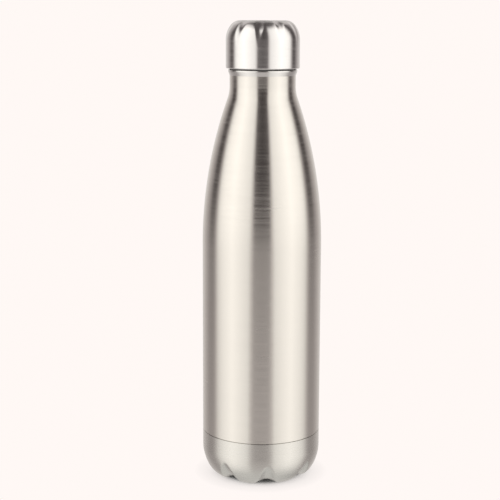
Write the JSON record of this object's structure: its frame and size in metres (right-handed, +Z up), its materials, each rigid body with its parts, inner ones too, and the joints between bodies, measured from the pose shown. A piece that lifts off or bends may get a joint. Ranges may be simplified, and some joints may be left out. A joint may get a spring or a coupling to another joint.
{
  "type": "insulated water bottle",
  "caption": "Double-walled vacuum steel water bottle with a long tapering shoulder, a fluted foot cup and a screw-in stopper cap.",
  "frame": {"origin": "on the bottle's axis, at the level that its feet stand on", "axes": "+Z up along the bottle's axis, -Y towards the front view"},
  "size_m": [0.069, 0.069, 0.266],
  "materials": {
    "barrel_steel": "stainless steel, brushed round the barrel",
    "cup_steel": "stainless steel, pressed and satin finished",
    "cap_steel": "stainless steel, drawn and brushed fine, nearly polished",
    "liner_steel": "stainless steel, electropolished satin",
    "raw_steel": "stainless steel, as rolled",
    "copper_foil": "bright copper foil",
    "sealing_glass": "melted sealing glass, dark and glossy",
    "getter_metal": "pressed metal powder, matt",
    "silicone": "grey silicone, matt",
    "stopper_plastic": "moulded polypropylene, fine satin",
    "foam": "closed-cell foam"
  },
  "bodies": {
    "bottle": {"outer_shell": "barrel_steel", "inner_liner": "liner_steel", "liner_base": "liner_steel", "heat_shield": "copper_foil", "vacuum_base": "raw_steel", "port_seal": "sealing_glass", "getter_pill": "getter_metal", "getter_clip": "raw_steel", "base_cup": "cup_steel"},
    "seal": {"seal_ring": "silicone"},
    "cap": {"cap_cover": "cap_steel", "cap_core": "stopper_plastic", "stopper": "stopper_plastic", "stopper_end": "stopper_plastic", "stopper_foam": "foam", "dome_foam": "foam"}
  },
  "joints": [
    {"name": "cap_rise", "type": "slide", "parent": "bottle", "child": "seal", "axis": [0, 0, 1], "range_m": [0, 0.028]},
    {"name": "cap_turn", "type": "hinge", "parent": "seal", "child": "cap", "pos_m": [0, 0, 0.24], "axis": [0, 0, 1], "range_deg": [0, 1260]}
  ],
  "couplings": [
    {"joint": "cap_rise", "follows": "cap_turn", "m_per_rad": 0.0012732}
  ]
}
